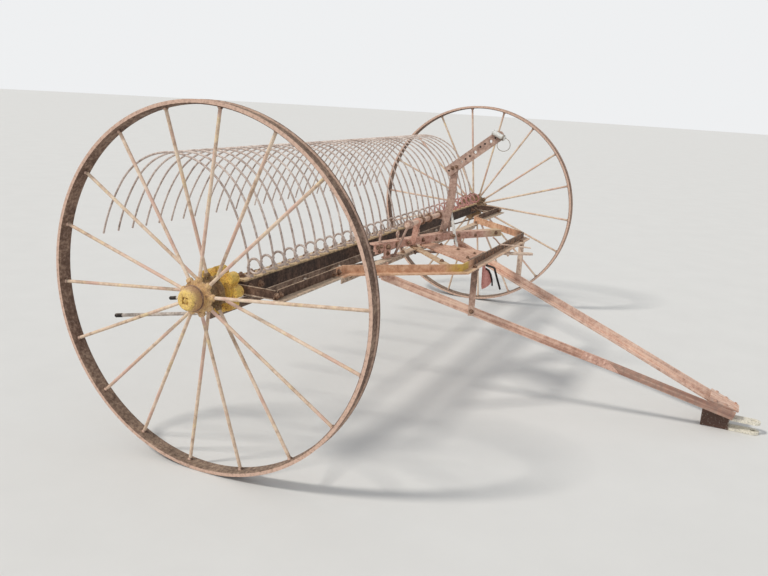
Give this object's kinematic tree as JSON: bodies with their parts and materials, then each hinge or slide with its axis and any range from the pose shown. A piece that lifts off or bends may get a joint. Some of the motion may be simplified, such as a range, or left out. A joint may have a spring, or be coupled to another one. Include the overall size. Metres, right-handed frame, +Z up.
{
  "type": "towed dump hay rake",
  "caption": "Old towed dump rake: a long row of curved spring teeth on a turning beam between two large spoked steel wheels, with an A-shaped hitch.",
  "frame": {"origin": "middle of the footprint, on the ground", "axes": "+X along the wheel axis to the right wheel, +Y to the rear where the teeth arch, +Z up"},
  "size_m": [3.42, 2.6967, 1.4],
  "materials": {
    "rim": "bare steel rim, dry brown rust with pale worn edges",
    "spokes": "weathered steel rod with traces of yellow paint",
    "hub": "cast iron, faded yellow paint over rust",
    "ratchet": "cast iron, bright ochre paint",
    "beam": "rolled steel angle, dark brown rust",
    "teeth": "spring steel rod, grey brown rust",
    "frame": "rolled steel, orange brown rust with remains of paint",
    "tongue": "rolled steel angle, salmon pink rust",
    "clevis": "weathered steel, chalky white paint",
    "lever": "flat steel bar, grey brown rust",
    "cleaner": "steel rod and flat, dull rust"
  },
  "bodies": {
    "frame": {"front_rail": "frame", "side_rail_left": "frame", "side_rail_right": "frame", "bearing_left": "frame", "bearing_right": "frame", "cross_bar": "frame", "tongue_bar_left": "tongue", "tongue_bar_right": "tongue", "hitch_plates": "tongue", "clevis": "clevis", "hanger_left": "lever", "hanger_right": "lever", "lever_bar": "frame", "lever_foot": "frame", "brace_front": "frame", "brace_rear": "frame", "dump_shaft": "lever", "shaft_stand": "frame", "lever_post": "lever", "trip_arm": "lever", "rope_pin": "lever", "cleaner_bar": "cleaner", "cleaner_rods": "cleaner", "cleaner_arms": "cleaner"},
    "rake_head": {"rake_beam": "beam", "spindle_left": "beam", "spindle_right": "beam", "teeth_1": "teeth", "teeth_2": "teeth", "teeth_3": "teeth", "teeth_4": "teeth", "teeth_5": "teeth", "teeth_6": "teeth", "teeth_7": "teeth", "teeth_8": "teeth"},
    "wheel_left": {"rim_left": "rim", "spokes_left": "spokes", "hub_left": "hub", "ratchet_left": "ratchet", "cap_left": "hub"},
    "wheel_right": {"rim_right": "rim", "spokes_right": "spokes", "hub_right": "hub", "ratchet_right": "ratchet", "cap_right": "hub"}
  },
  "joints": [
    {"name": "rake_dump", "type": "hinge", "parent": "frame", "child": "rake_head", "pos_m": [0, 0.64164, 0.7], "axis": [-1, 0, 0], "range_deg": [0, 76]},
    {"name": "wheel_left_spin", "type": "hinge", "parent": "rake_head", "child": "wheel_left", "pos_m": [-1.598, 0.64164, 0.7], "axis": [1, 0, 0], "continuous": true},
    {"name": "wheel_right_spin", "type": "hinge", "parent": "rake_head", "child": "wheel_right", "pos_m": [1.598, 0.64164, 0.7], "axis": [1, 0, 0], "continuous": true}
  ]
}
